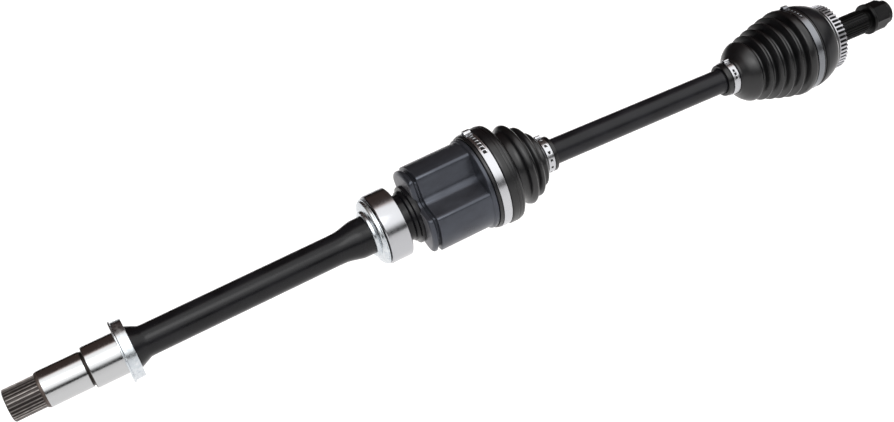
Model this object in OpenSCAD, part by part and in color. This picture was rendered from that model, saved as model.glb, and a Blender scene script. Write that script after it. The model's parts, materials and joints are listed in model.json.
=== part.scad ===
// Front drive axle with a carrier-bearing intermediate shaft, a sliding tripod joint and a fixed ball joint.
// The X axis is the intermediate shaft's axis and points to the wheel. Z is up. Millimetres.
// The origin is the centre of the carrier bearing.

/* [Intermediate shaft] */
// Left end of the differential spline
spline_end_x = -363; // [-380:1:-350]
// Length of the differential spline
spline_len = 29; // [24:1:32]
// Tip radius of the differential spline
spline_r = 15; // [14:0.1:16]
// Number of differential spline teeth
spline_teeth = 27; // [20:1:36]
// Radius of the small ground journal
pilot_r = 17; // [16.5:0.1:18]
// Radius of the oil-seal journal
seal_r = 19.5; // [19:0.1:20]
// Where the oil-seal journal starts
seal_x = -291; // [-296:1:-286]
// Where the dust deflector starts
deflector_x = -261; // [-264:1:-258]
// Radius of the plain shaft
shaft_r = 14.7; // [13:0.1:16]

/* [Carrier bearing] */
// Outside radius of the bearing
bearing_r = 34; // [33:0.5:36]
// Width of the bearing
bearing_w = 22; // [20:1:23]
// Radius of the bearing seat on the shaft
seat_r = 20; // [19.6:0.1:20.5]
// Radius of the circle of bearing ball centres
bearing_pitch_r = 27; // [26.8:0.1:27.2]
// Radius of the bearing balls
bearing_ball_r = 4.8; // [4.2:0.1:4.8]
// Number of bearing balls
bearing_ball_count = 12; // [9:1:13]

/* [Tripod joint] */
// Centre of the tripod on the shaft axis
tripod_x = 62; // [60:1:66]
// Angle of the bar below the shaft as the axle lies
bend_rest = 2.9; // [0:0.1:4]
// Outside radius of the tulip's lobes
lobe_r = 43.5; // [42.5:0.5:44]
// Half the width of a tulip lobe
lobe_half_w = 22.4; // [22:0.1:23]
// Turn of the lobes about the shaft axis
lobe_turn = 10; // [0:1:119]
// Distance of the roller tracks from the axis
track_pitch_r = 24; // [23.5:0.1:24]
// Radius of the roller tracks
track_r = 14.9; // [14.9:0.1:15.2]
// Outside radius of the rollers
roller_r = 14; // [13.5:0.1:14]
// Where the tulip's mouth ends
tulip_mouth_x = 110; // [108:1:112]

/* [Bar] */
// Distance between the two joint centres
joint_span = 418; // [400:1:460]
// Radius of the bar
bar_r = 12.6; // [12:0.1:13]
// Radius of the necks under the boots
neck_r = 11; // [10.5:0.1:11.2]
// Tip radius of the splines at both ends of the bar
bar_spline_r = 12.2; // [12:0.1:12.4]
// Number of teeth on each end of the bar
bar_spline_teeth = 30; // [24:1:32]

/* [Ball joint] */
// Radius of the joint's balls
ball_r = 7.94; // [7.5:0.01:8]
// Radius of the circle of ball centres
ball_pitch_r = 27; // [26.8:0.1:27.2]
// Clearance of a ball in its grooves, for the full bend
groove_clear = 1.1; // [1:0.1:1.2]
// Outside radius of the bell's shoulder
bell_r = 44; // [43:0.5:45]
// Radius of the wheel-hub spline
stub_r = 13; // [12.5:0.1:13.5]
// Number of wheel-hub spline teeth
stub_teeth = 28; // [24:1:32]
// Outside radius of the tone ring
tone_r = 34.6; // [34:0.1:36]
// Number of tone ring teeth
tone_teeth = 48; // [40:1:54]
// Width of the hub nut across its flats
nut_af = 27; // [26:1:28]

/* [Hidden] */
$fn = 96;

fit_gap = 0.02;          // fixed fits, per side
run_gap = 0.3;           // between pieces that move past each other

// Splines: shares of a tooth pitch, measured from the tooth's middle
tip_share = 0.13;
root_share = 0.29;
spline_depth = 1.1;
spline_play = 0.05;

// Differential end
spline_root_x = spline_end_x + spline_len;
pilot_x = spline_root_x + 3.5;
relief_w = 1.7;
neck_cone_x = deflector_x + 12;
shaft_x = neck_cone_x + 9.5;
flare_x = -47;
flare_len = 16;
flare_r = 18.6;
deflector_seat_r = seal_r + 0.2;
deflector_lip_r = 29;
deflector_r = 27.5;
deflector_w = 11;
sheet = 1.5;

// Bearing
bearing_half = bearing_w / 2;
race_chamfer = 1;
outer_land_r = 30.4;
inner_land_r = 23.6;
ball_track_clear = 0.15;
snap_x = -bearing_half - 2.2;
snap_w = 1.6;
snap_groove_r = 18.9;
cover_hub_x = -bearing_half - 9;

// Tulip
lobe_x = 27;
lobe_end_round = 6;
lobe_corner = 4;
valley_fillet_r = 10;
tulip_bore_r = 20.5;
cavity_x = 30;
collar_x = 92;
boot_seat_r = 44;
plunge_in = 10;
bend_limit = 18;
inner_clamp_x = 99.5;
inner_clamp_w = 8.5;

// Tripod
hub_r = 16;
hub_half = 11;
trunnion_r = 7.6;
needle_r = 1.3;
needle_count = 20;
needle_half = 4.6;
roller_half = 5.6;
roller_bore_r = trunnion_r + 2 * needle_r + 0.08;
trunnion_end_r = 32;
trunnion_ring_r = 30.2;

// Bar
bar_end = -16;
small_seat_x = 101;
small_seat_len = 17;
small_seat_r = 13;
inner_small_clamp_x = 105;
small_clamp_w = 7;
outer_seat_x = joint_span - 101;
outer_small_clamp_x = joint_span - 94;
circlip_w = 1.4;
circlip_r = 1.0;

// Ball joint, measured from its own centre
ball_count = 6;
race_half = 12;
groove_reach = 44;         // degrees each side of the ball
inner_sphere_r = 23.5;
cage_in_r = inner_sphere_r + run_gap;
cage_out_r = 30.5;
cage_half = 11.5;
window_len = 20.5;
bell_sphere_r = cage_out_r + run_gap;
bell_mouth_x = -14;
bell_floor_x = 27;
bell_counterbore_r = 35.4;
bell_back_x = 37;
bell_seat_r = 40.2;
tone_x = 25.7;
tone_w = 10.6;
tone_seat_r = 31;
outer_clamp_x = -9.3;
outer_clamp_w = 7.1;
stub_spline_x = 41;
stub_spline_end = 84;
thread_r = 11;
stub_end = 117.5;
nut_x = 89.5;
nut_flange_r = 16.3;
nut_collar_r = 12.8;

// Boots
boot_wall = 2.5;
ridge_x0 = -73.8;
ridge_r0 = 31.5;
ridge_pitch = 11;
ridge_rise = 2.9;
ridge_count = 6;
valley_depth = 5.5;

// A shape drawn along +Z is laid along +X.
module along_x() {
    rotate([0, 90, 0]) children();
}

// A solid turned about the X axis from [radius, x] points.
module turned(points) {
    along_x() rotate_extrude() polygon(points);
}

module ring(x0, x1, r_in, r_out) {
    turned([[r_in, x0], [r_out, x0], [r_out, x1], [r_in, x1]]);
}

module rod(x0, x1, r) {
    turned([[0, x0], [r, x0], [r, x1], [0, x1]]);
}

// The bar's own frame: its X axis leaves the tripod centre at the resting bend.
module bar_frame() {
    translate([tripod_x, 0, 0]) rotate([0, bend_rest, 0]) children();
}

// The ball joint's own frame, straight on the bar.
module hub_frame() {
    bar_frame() translate([joint_span, 0, 0]) children();
}

function polar(r, a) = [r * cos(a), r * sin(a)];

// Outline of a spline. play widens it for the hole that takes the spline.
function spline_points(teeth, tip_r, play) = [
    for (i = [0 : teeth - 1])
        for (corner = [[-1, 0], [-1, 1], [1, 1], [1, 0]])
            polar(
                tip_r - spline_depth * (1 - corner[1]) + play,
                (i + corner[0] * ((corner[1] == 1 ? tip_share : root_share) + play / 4)) * 360 / teeth
            )
];

module spline(x0, x1, teeth, tip_r, play = 0) {
    translate([x0, 0, 0]) along_x() linear_extrude(x1 - x0) polygon(spline_points(teeth, tip_r, play));
}

// A spline with a chamfer at each end.
module chamfered_spline(x0, x1, teeth, tip_r, chamfer) {
    intersection() {
        spline(x0, x1, teeth, tip_r);
        turned([
            [0, x0], [tip_r - chamfer, x0], [tip_r, x0 + chamfer],
            [tip_r, x1 - chamfer], [tip_r - chamfer, x1], [0, x1]
        ]);
    }
}

module intermediate_shaft() {
    color("dimgray") {
        chamfered_spline(spline_end_x, spline_root_x + 1.5, spline_teeth, spline_r, 0.9);
        turned([
            [0, spline_root_x - 2], [spline_r - 3, spline_root_x - 2],
            [spline_r - 3, spline_root_x], [spline_r + 0.3, spline_root_x],
            [pilot_r, pilot_x], [pilot_r, seal_x - relief_w], [pilot_r - 0.8, seal_x - relief_w],
            [pilot_r - 0.8, seal_x], [seal_r - 0.8, seal_x], [seal_r, seal_x + 0.8],
            [seal_r, deflector_x], [deflector_seat_r, deflector_x], [deflector_seat_r, neck_cone_x],
            [shaft_r, shaft_x], [shaft_r, flare_x],
            [shaft_r + 2, flare_x + flare_len * 0.5], [flare_r, flare_x + flare_len],
            [flare_r, snap_x - 1.4], [seat_r, snap_x - 1.2], [seat_r, snap_x], [snap_groove_r, snap_x],
            [snap_groove_r, snap_x + snap_w], [seat_r, snap_x + snap_w],
            [seat_r, bearing_half], [0, bearing_half]
        ]);
    }
}

module dust_deflector() {
    bore = deflector_seat_r + fit_gap;
    color("lightgray") turned([
        [bore, deflector_x], [deflector_lip_r, deflector_x], [deflector_lip_r, deflector_x + sheet],
        [deflector_r, deflector_x + sheet], [deflector_r, deflector_x + deflector_w],
        [deflector_r - sheet, deflector_x + deflector_w], [deflector_r - sheet, deflector_x + 2 * sheet],
        [bore + sheet, deflector_x + 2 * sheet], [bore + sheet, deflector_x + deflector_w - sheet],
        [bore, deflector_x + deflector_w - sheet]
    ]);
}

module bearing_outer_race() {
    color("silver") difference() {
        turned([
            [outer_land_r, -bearing_half], [bearing_r - race_chamfer, -bearing_half],
            [bearing_r, -bearing_half + race_chamfer], [bearing_r, bearing_half - race_chamfer],
            [bearing_r - race_chamfer, bearing_half], [outer_land_r, bearing_half]
        ]);
        bearing_ball_track();
    }
}

module bearing_inner_race() {
    color("silver") difference() {
        ring(snap_x + snap_w + fit_gap, bearing_half, seat_r + fit_gap, inner_land_r);
        bearing_ball_track();
    }
}

module bearing_ball_track() {
    along_x() rotate_extrude() translate([bearing_pitch_r, 0])
        circle(r = bearing_ball_r + ball_track_clear, $fn = 48);
}

module each_bearing_ball() {
    for (i = [0 : bearing_ball_count - 1]) {
        rotate([i * 360 / bearing_ball_count, 0, 0]) translate([0, 0, bearing_pitch_r]) children();
    }
}

module bearing_balls() {
    color("silver") each_bearing_ball() sphere(r = bearing_ball_r, $fn = 32);
}

module bearing_cage() {
    color("peru") difference() {
        ring(-6.2, 6.2, bearing_pitch_r - 1.6, bearing_pitch_r + 1.6);
        each_bearing_ball() cylinder(r = bearing_ball_r + 0.05, h = 8, center = true, $fn = 40);
    }
}

module bearing_seals() {
    color("black") for (side = [0, 1]) {
        mirror([side, 0, 0])
            ring(bearing_half - 3, bearing_half - 1, inner_land_r + 0.4, outer_land_r - fit_gap);
    }
}

module bearing_retaining_ring() {
    color("dimgray") difference() {
        ring(snap_x + fit_gap, snap_x + snap_w - fit_gap, snap_groove_r + fit_gap, 22.6);
        translate([snap_x - 1, -3, 10]) cube([snap_w + 2, 6, 20]);
    }
}

module bearing_dust_cover() {
    bore = flare_r + fit_gap;
    rim_x = -bearing_half - 1.3;
    color("lightgray") turned([
        [bore, cover_hub_x], [22, cover_hub_x], [22.6, cover_hub_x + 0.6], [22.6, rim_x - 4.2],
        [29.8, rim_x - 3.8], [31.2, rim_x - 2.6], [31.2, rim_x - 1],
        [32.6, rim_x - 0.8], [32.6, rim_x], [29.6, rim_x], [29.6, rim_x - 2.2],
        [24, rim_x - 2.4], [23.2, rim_x - 2.9], [21.2, rim_x - 2.9], [21.2, cover_hub_x + 1.6],
        [bore, cover_hub_x + 1.6]
    ]);
}

// One lobe of the tulip, flat sided with rounded corners.
module lobe_outline() {
    corner_y = lobe_half_w - lobe_corner;
    corner_x = sqrt(pow(lobe_r - lobe_corner, 2) - pow(corner_y, 2));
    translate([0, -lobe_half_w]) square([corner_x, 2 * lobe_half_w]);
    for (side = [-1, 1]) {
        translate([corner_x, side * corner_y]) circle(r = lobe_corner, $fn = 48);
    }
    intersection() {
        circle(r = lobe_r);
        polygon([[0, 0], [2 * corner_x, 2 * corner_y], [2 * corner_x, -2 * corner_y]]);
    }
}

// The filled corner between two lobes.
module valley_outline() {
    out = (lobe_half_w + valley_fillet_r) / sin(60);
    foot = [out * cos(60), lobe_half_w];
    difference() {
        rotate(60) polygon([
            [0, 0], polar(norm(foot), atan2(foot[1], foot[0]) - 60), [out, 0],
            polar(norm(foot), 60 - atan2(foot[1], foot[0]))
        ]);
        rotate(60) translate([out, 0]) circle(r = valley_fillet_r, $fn = 64);
    }
}

module tulip_outline() {
    for (i = [0 : 2]) {
        rotate(180 + 120 * i) {
            lobe_outline();
            valley_outline();
        }
    }
}

// The room that the spider, its rollers and the tilting bar need.
module tulip_cavity() {
    flare_start = tripod_x - plunge_in + (tulip_bore_r - neck_r / cos(bend_limit) - 0.5) / tan(bend_limit);
    mouth_r = tulip_bore_r + (tulip_mouth_x + 1 - flare_start) * tan(bend_limit);
    turned([
        [0, cavity_x], [tulip_bore_r, cavity_x], [tulip_bore_r, flare_start],
        [mouth_r, tulip_mouth_x + 1], [0, tulip_mouth_x + 1]
    ]);
    for (i = [0 : 2]) {
        translate([cavity_x, 0, 0]) rotate([-120 * i, 0, 0]) translate([0, 0, track_pitch_r])
            along_x() cylinder(r = track_r, h = tulip_mouth_x + 1 - cavity_x);
    }
}

// Angle about X of a lobe's middle, from +Z.
function lobe_turn_x(i) = -lobe_turn - 120 * i;

module tulip_housing() {
    color([0.22, 0.23, 0.25]) rotate([-lobe_turn, 0, 0]) difference() {
        union() {
            turned([
                [0, bearing_half], [23, bearing_half], [23, bearing_half + 2.5], [20.5, bearing_half + 4],
                [20.5, bearing_half + 8], [25.5, bearing_half + 9], [25.5, bearing_half + 11],
                [29.5, bearing_half + 12.5], [29.5, lobe_x + 6], [0, lobe_x + 6]
            ]);
            intersection() {
                translate([lobe_x, 0, 0]) along_x() linear_extrude(collar_x + 6 - lobe_x) tulip_outline();
                turned([
                    [0, lobe_x], [lobe_r - lobe_end_round, lobe_x],
                    [lobe_r - 0.3 * lobe_end_round, lobe_x + 0.3 * lobe_end_round],
                    [lobe_r - 0.6, lobe_x + 4.6],
                    [lobe_r - 0.6, lobe_x + 7], [lobe_r - 1.6, lobe_x + 7.4], [lobe_r - 1.6, lobe_x + 8.4],
                    [lobe_r, lobe_x + 9], [lobe_r, collar_x + 6], [0, collar_x + 6]
                ]);
            }
            turned([
                [0, collar_x - 2], [lobe_r - 1.5, collar_x - 2], [boot_seat_r + 1.4, collar_x + 0.6],
                [boot_seat_r + 1.4, collar_x + 3.2],
                [boot_seat_r, collar_x + 3.6], [boot_seat_r, tulip_mouth_x - 1.2],
                [boot_seat_r - 1.2, tulip_mouth_x], [0, tulip_mouth_x]
            ]);
        }
        tulip_cavity();
    }
}

// A band clamp with the raised ear of its crimp.
module band_clamp(x0, x1, r_in, r_out, ear_len, ear_turn) {
    ring(x0, x1, r_in, r_out);
    rotate([ear_turn, 0, 0]) translate([x0 + 1, -ear_len / 2, r_out - 0.3]) cube([x1 - x0 - 2, ear_len, 2.6]);
}

module inner_boot_large_clamp() {
    color("gainsboro") band_clamp(inner_clamp_x, inner_clamp_x + inner_clamp_w, 46.9, 47.9, 8, 50);
}

// The big end of the boot lies on the shaft's axis and the folds lie on the bar's axis.
module inner_boot() {
    seat = boot_seat_r + run_gap;
    color([0.09, 0.09, 0.1]) {
        turned([
            [seat, collar_x + 4], [47, collar_x + 4], [47.3, inner_clamp_x - 0.6],
            [46.6, inner_clamp_x - 0.4], [46.6, inner_clamp_x + inner_clamp_w + 0.4],
            [48.4, inner_clamp_x + inner_clamp_w + 1], [48.8, inner_clamp_x + inner_clamp_w + 8],
            [47, inner_clamp_x + inner_clamp_w + 11], [40, inner_clamp_x + inner_clamp_w + 15],
            [32, inner_clamp_x + inner_clamp_w + 15], [32, inner_clamp_x + inner_clamp_w + 11],
            [44, inner_clamp_x + inner_clamp_w + 8], [45.4, tulip_mouth_x + 1], [seat, tulip_mouth_x + 0.8]
        ]);
        bar_frame() turned([
            [33.6, 57], [37, 57], [36.2, 66], [39, 70], [40.6, 74], [39, 78], [33.4, 82], [33.2, 84],
            [35.6, 87], [36, 90], [34, 93], [28.4, 96], [28.2, 98], [30, 100], [29.6, 102], [22, 104.2],
            [16.3, 104.6], [16.3, 112.4], [17.4, 112.8], [17.4, 116], [small_seat_r + run_gap, 116],
            [small_seat_r + run_gap, 101.6], [18, 101.6], [26, 99.4], [25.6, 95], [31, 90.6], [32, 89],
            [30.4, 85], [30.6, 81], [36.6, 75], [36.6, 73], [33, 67]
        ]);
    }
}

module inner_boot_small_clamp() {
    color("gainsboro") bar_frame()
        band_clamp(inner_small_clamp_x, inner_small_clamp_x + small_clamp_w, 16.6, 17.6, 6, 45);
}

module bar_shaft() {
    far = joint_span + 15;
    color([0.07, 0.07, 0.08]) bar_frame() difference() {
        union() {
            chamfered_spline(bar_end, 13, bar_spline_teeth, bar_spline_r, 0.8);
            turned([
                [0, 12], [neck_r, 12], [neck_r, small_seat_x - 3], [small_seat_r, small_seat_x],
                [small_seat_r, small_seat_x + small_seat_len], [bar_r, small_seat_x + small_seat_len + 1],
                [bar_r, outer_seat_x - 1], [small_seat_r, outer_seat_x],
                [small_seat_r, outer_seat_x + small_seat_len], [neck_r, outer_seat_x + small_seat_len + 3],
                [neck_r, joint_span - 12], [0, joint_span - 12]
            ]);
            chamfered_spline(joint_span - 13, far, bar_spline_teeth, bar_spline_r, 0.8);
        }
        ring(-hub_half - 2.8, -hub_half - 2.8 + circlip_w, bar_spline_r - circlip_r - 0.4, bar_spline_r + 1);
        ring(joint_span + race_half + 0.3, joint_span + race_half + 0.3 + circlip_w,
            bar_spline_r - circlip_r - 0.4, bar_spline_r + 1);
    }
}

// A split spring ring in a groove of the bar.
module bar_circlip(x0) {
    color("silver") bar_frame() difference() {
        ring(x0 + fit_gap, x0 + circlip_w - fit_gap, bar_spline_r - circlip_r - 0.38, bar_spline_r + 1.4);
        translate([x0 - 1, -2.5, 5]) cube([circlip_w + 2, 5, 12]);
    }
}

module spider_circlip() {
    bar_circlip(-hub_half - 2.8);
}

module inner_race_circlip() {
    bar_circlip(joint_span + race_half + 0.3);
}

module each_trunnion() {
    for (i = [0 : 2]) {
        bar_frame() rotate([lobe_turn_x(i), 0, 0]) children();
    }
}

module tripod_spider() {
    color("gray") difference() {
        union() {
            bar_frame() turned([
                [0, -hub_half], [hub_r - 1.5, -hub_half], [hub_r, -hub_half + 1.5],
                [hub_r, hub_half - 1.5], [hub_r - 1.5, hub_half], [0, hub_half]
            ]);
            each_trunnion() cylinder(r = trunnion_r, h = trunnion_end_r);
        }
        bar_frame() spline(-hub_half - 1, hub_half + 1, bar_spline_teeth, bar_spline_r, spline_play);
        each_trunnion() translate([0, 0, trunnion_ring_r]) difference() {
            cylinder(r = trunnion_r + 1, h = 1);
            cylinder(r = trunnion_r - 0.7, h = 1);
        }
    }
}

module trunnion_needles() {
    color("silver") each_trunnion() {
        for (k = [0 : needle_count - 1]) {
            rotate([0, 0, k * 360 / needle_count]) translate([trunnion_r + needle_r + 0.04, 0, track_pitch_r])
                cylinder(r = needle_r, h = 2 * needle_half, center = true, $fn = 16);
        }
    }
}

module roller_retaining_rings() {
    color("dimgray") each_trunnion() translate([0, 0, trunnion_ring_r + 0.05]) difference() {
        cylinder(r = trunnion_r + 2.4, h = 0.9);
        translate([0, 0, -1]) cylinder(r = trunnion_r - 0.66, h = 3);
        translate([-2, 0, -1]) cube([4, 14, 3]);
    }
}

// A roller is a slice of a ball, bored for its needles.
module roller(i) {
    color("silver") bar_frame() rotate([lobe_turn_x(i), 0, 0]) translate([0, 0, track_pitch_r]) difference() {
        intersection() {
            sphere(r = roller_r);
            cylinder(r = roller_r + 1, h = 2 * roller_half, center = true);
        }
        cylinder(r = roller_bore_r, h = 3 * roller_half, center = true);
    }
}

module roller_1() {
    roller(0);
}

module roller_2() {
    roller(1);
}

module roller_3() {
    roller(2);
}

module outer_boot_small_clamp() {
    color("gainsboro") bar_frame()
        band_clamp(outer_small_clamp_x, outer_small_clamp_x + small_clamp_w, 16.6, 17.6, 6, 45);
}

// Ball grooves, each a stretch of a torus about the joint's centre.
module ball_grooves() {
    for (i = [0 : ball_count - 1]) {
        rotate([i * 360 / ball_count, 0, 0]) rotate([90, 0, 0]) rotate([0, 0, 90 - groove_reach])
            rotate_extrude(angle = 2 * groove_reach) translate([ball_pitch_r, 0])
                circle(r = ball_r + groove_clear, $fn = 48);
    }
}

module cv_inner_race() {
    color("silver") hub_frame() difference() {
        intersection() {
            sphere(r = inner_sphere_r);
            rod(-race_half, race_half, 40);
        }
        ball_grooves();
        spline(-race_half - 1, race_half + 1, bar_spline_teeth, bar_spline_r, spline_play);
    }
}

module each_ball() {
    for (i = [0 : ball_count - 1]) {
        rotate([i * 360 / ball_count, 0, 0]) translate([0, 0, ball_pitch_r]) children();
    }
}

module cv_balls() {
    color("silver") hub_frame() each_ball() sphere(r = ball_r, $fn = 48);
}

module ball_cage() {
    slot = window_len / 2 - ball_r;
    color("slategray") hub_frame() difference() {
        intersection() {
            sphere(r = cage_out_r);
            rod(-cage_half, cage_half, 40);
        }
        sphere(r = cage_in_r);
        each_ball() {
            for (side = [-1, 1]) {
                translate([0, side * slot, 0]) cylinder(r = ball_r + 0.05, h = 16, center = true, $fn = 40);
            }
            cube([2 * ball_r + 0.1, 2 * slot, 16], center = true);
        }
    }
}

function ridge_x(i) = ridge_x0 + i * ridge_pitch;
function ridge_r(i) = ridge_r0 + i * ridge_rise;

// Folds of the outer boot, inset by the wall for its inside.
function fold_points(inset) = [
    for (i = [0 : ridge_count - 1])
        for (p = [
            [ridge_r(i) - inset, ridge_x(i) - 1.4], [ridge_r(i) - inset, ridge_x(i) + 1.4],
            [ridge_r(i) - valley_depth - inset, ridge_x(i) + 4.6],
            [ridge_r(i) - valley_depth - inset, ridge_x(i) + 6.4]
        ])
            if (i < ridge_count - 1 || p[0] > ridge_r(i) - inset - 1) p
];

function reversed(list) = [for (i = [len(list) - 1 : -1 : 0]) list[i]];

module outer_boot() {
    small_in = small_seat_r + run_gap;
    clamp_x = outer_small_clamp_x - joint_span;
    outside = concat(
        [
            [small_in, clamp_x - 5.5], [17.4, clamp_x - 5.5], [17.4, clamp_x - 0.6], [16.3, clamp_x - 0.4],
            [16.3, clamp_x + small_clamp_w + 0.4], [18.5, clamp_x + small_clamp_w + 0.8],
            [25, clamp_x + small_clamp_w + 3.4], [29.4, clamp_x + small_clamp_w + 7.4]
        ],
        fold_points(0),
        [[45.6, outer_clamp_x - 0.6], [43, outer_clamp_x - 0.4], [43, outer_clamp_x + outer_clamp_w + 0.4],
            [43.6, outer_clamp_x + outer_clamp_w + 0.8], [43.6, 0.2]]
    );
    inside = concat(
        [[small_in, clamp_x + small_clamp_w], [22.5, clamp_x + small_clamp_w + 4.4],
            [26.8, clamp_x + small_clamp_w + 8.4]],
        fold_points(boot_wall),
        [[42.6, bell_mouth_x - 1.6], [bell_seat_r + run_gap, bell_mouth_x - 0.8],
            [bell_seat_r + run_gap, 0.2]]
    );
    color([0.09, 0.09, 0.1]) hub_frame() turned(concat(outside, reversed(inside)));
}

module cv_outer_race() {
    core_r = stub_r - spline_depth - 0.6;
    color([0.07, 0.07, 0.08]) hub_frame() {
        difference() {
            along_x() rotate_extrude() difference() {
                polygon([
                    [0, bell_mouth_x], [bell_seat_r - 1.2, bell_mouth_x], [bell_seat_r, bell_mouth_x + 1.2],
                    [bell_seat_r, 0.8], [bell_r, 1.4], [bell_r, 4], [bell_r - 1, 8.5], [bell_r - 2.4, 13],
                    [bell_r - 4, 17], [bell_r - 6, 21],
                    [bell_r - 8.2, tone_x - 0.6], [tone_seat_r, tone_x - 0.4], [tone_seat_r, bell_back_x - 1],
                    [tone_seat_r - 1, bell_back_x], [17, bell_back_x], [stub_r + 0.6, bell_back_x + 3],
                    [core_r, stub_spline_x + 1], [core_r, stub_spline_end - 1],
                    [thread_r, stub_spline_end + 1],
                    [thread_r, stub_end - 1], [thread_r - 1, stub_end], [0, stub_end]
                ]);
                intersection() {
                    circle(r = bell_sphere_r);
                    translate([-40, -60]) square([80, 60 + bell_floor_x]);
                }
                translate([0, bell_mouth_x - 1]) square([bell_counterbore_r, 3.5]);
            }
            ball_grooves();
        }
        chamfered_spline(stub_spline_x, stub_spline_end, stub_teeth, stub_r, 0.8);
    }
}

function tone_points() = [
    for (i = [0 : tone_teeth - 1])
        for (corner = [[-0.32, tone_r - 1.6], [-0.24, tone_r], [0.24, tone_r], [0.32, tone_r - 1.6]])
            polar(corner[1], (i + corner[0]) * 360 / tone_teeth)
];

module abs_tone_ring() {
    color("gray") hub_frame() {
        difference() {
            translate([tone_x + 1, 0, 0]) along_x() linear_extrude(tone_w - 1) polygon(tone_points());
            rod(tone_x, tone_x + tone_w + 1, tone_seat_r + fit_gap);
        }
        ring(tone_x, tone_x + 1.2, tone_seat_r + fit_gap, tone_r - 0.4);
    }
}

module outer_boot_large_clamp() {
    color("darkgray") hub_frame() band_clamp(outer_clamp_x, outer_clamp_x + outer_clamp_w, 43.3, 44.3, 8, 40);
}

module hub_nut() {
    hex_r = nut_af / 2 / cos(30);
    color([0.08, 0.08, 0.09]) hub_frame() difference() {
        union() {
            turned([
                [0, nut_x], [nut_flange_r, nut_x], [nut_flange_r, nut_x + 3.6], [14.6, nut_x + 6],
                [0, nut_x + 6]
            ]);
            intersection() {
                translate([nut_x + 5, 0, 0]) along_x() cylinder(r = hex_r, h = 17, $fn = 6);
                turned([
                    [0, nut_x + 5], [hex_r, nut_x + 5], [hex_r, nut_x + 19.6], [hex_r - 1.6, nut_x + 22],
                    [0, nut_x + 22]
                ]);
            }
            rod(nut_x + 21, nut_x + 26.5, nut_collar_r);
        }
        rod(nut_x - 1, nut_x + 28, thread_r + fit_gap);
    }
}

bearing_outer_race();
bearing_seals();
bearing_cage();
bearing_balls();
intermediate_shaft();
tulip_housing();
dust_deflector();
bearing_inner_race();
bearing_dust_cover();
bearing_retaining_ring();
inner_boot_large_clamp();
inner_boot();
bar_shaft();
tripod_spider();
spider_circlip();
trunnion_needles();
roller_retaining_rings();
roller_1();
roller_2();
roller_3();
inner_boot_small_clamp();
outer_boot_small_clamp();
cv_inner_race();
inner_race_circlip();
ball_cage();
cv_balls();
outer_boot();
cv_outer_race();
abs_tone_ring();
outer_boot_large_clamp();
hub_nut();
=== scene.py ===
# %% [markdown]
# # A car's front drive axle
# This lesson builds the looks of one long drive axle around a imported CAD model. From left to right the
# axle has a splined shaft with two ground journals, a support bearing, a three-lobed sliding joint under
# a rubber boot, a black bar, and a ball joint under a second boot, with its toothed ring, stub and nut.
# The CAD model fixes every size and place, so the frame is loaded first.

# %% Load the frame
import json
import math
import bmesh
import bpy
from mathutils import Matrix, Vector


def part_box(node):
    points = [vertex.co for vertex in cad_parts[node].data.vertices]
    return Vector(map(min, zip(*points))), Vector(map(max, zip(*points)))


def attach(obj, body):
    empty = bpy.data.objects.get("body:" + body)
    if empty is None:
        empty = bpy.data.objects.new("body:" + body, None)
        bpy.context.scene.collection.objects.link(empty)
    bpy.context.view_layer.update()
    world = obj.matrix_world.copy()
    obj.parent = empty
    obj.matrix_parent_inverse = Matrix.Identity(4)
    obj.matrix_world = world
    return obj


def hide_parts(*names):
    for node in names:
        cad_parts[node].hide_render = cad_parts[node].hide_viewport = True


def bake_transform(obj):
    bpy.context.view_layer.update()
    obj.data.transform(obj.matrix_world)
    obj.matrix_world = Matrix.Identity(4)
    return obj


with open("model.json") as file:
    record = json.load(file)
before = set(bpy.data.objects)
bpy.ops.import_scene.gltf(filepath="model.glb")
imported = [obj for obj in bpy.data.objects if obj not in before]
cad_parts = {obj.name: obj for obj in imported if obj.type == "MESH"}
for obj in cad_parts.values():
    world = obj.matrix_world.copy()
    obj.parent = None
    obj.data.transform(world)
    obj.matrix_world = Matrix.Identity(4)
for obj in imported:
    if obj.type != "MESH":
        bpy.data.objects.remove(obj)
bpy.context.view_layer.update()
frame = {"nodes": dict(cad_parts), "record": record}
MM = 0.001

# %% [markdown]
# The axle rests with a slight bend at its inner joint. The two joint centres give the bar's own frame:
# its X axis runs from the sliding joint to the ball joint. Pieces on the bar are made straight along X
# and are then laid into that frame, so a profile can be read in plain millimetres.

# %% The three straight frames that pieces are made in
joints = {joint["name"]: joint for joint in frame["record"]["behaviour"]["joints"]}
tripod = Vector(joints["inner_bend"]["pos_m"])
ball_joint = Vector(joints["outer_bend"]["pos_m"])
span = ball_joint - tripod
BEND = math.atan2(-span.z, span.x)
SHAFT = Matrix.Identity(4)
BAR = Matrix.Translation(tripod) @ Matrix.Rotation(BEND, 4, "Y")
HUB = Matrix.Translation(ball_joint) @ Matrix.Rotation(BEND, 4, "Y")
REACH = span.length / MM
print("bar:", round(REACH, 1), "mm between the joints, bent by", round(math.degrees(BEND), 2), "degrees")

# %% [markdown]
# The camera stands high on the splined end's side and is rolled a little, so the axle climbs from the
# lower left to the upper right. Its three directions are given as one matrix, made square again from
# its backward and upward directions.

# %% The camera
backward = Vector((-0.275, -0.813, 0.512)).normalized()
right = Vector((0.419, 0.379, 0.825)).cross(backward).normalized()
upward = backward.cross(right)
bpy.ops.object.camera_add(location=(-0.2567, -0.9667, 0.5851))
camera = bpy.context.object
turn = Matrix((right, upward, backward)).transposed()
camera.matrix_world = Matrix.Translation(camera.location) @ turn.to_4x4()
camera.data.sensor_width = 36
camera.data.lens = 50.34
camera.data.shift_x = -0.0123
camera.data.shift_y = 0.0045
camera.data.clip_start = 0.01
bpy.context.scene.camera = camera
print("camera at", [round(c, 3) for c in camera.location], "lens", camera.data.lens, "mm")

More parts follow.
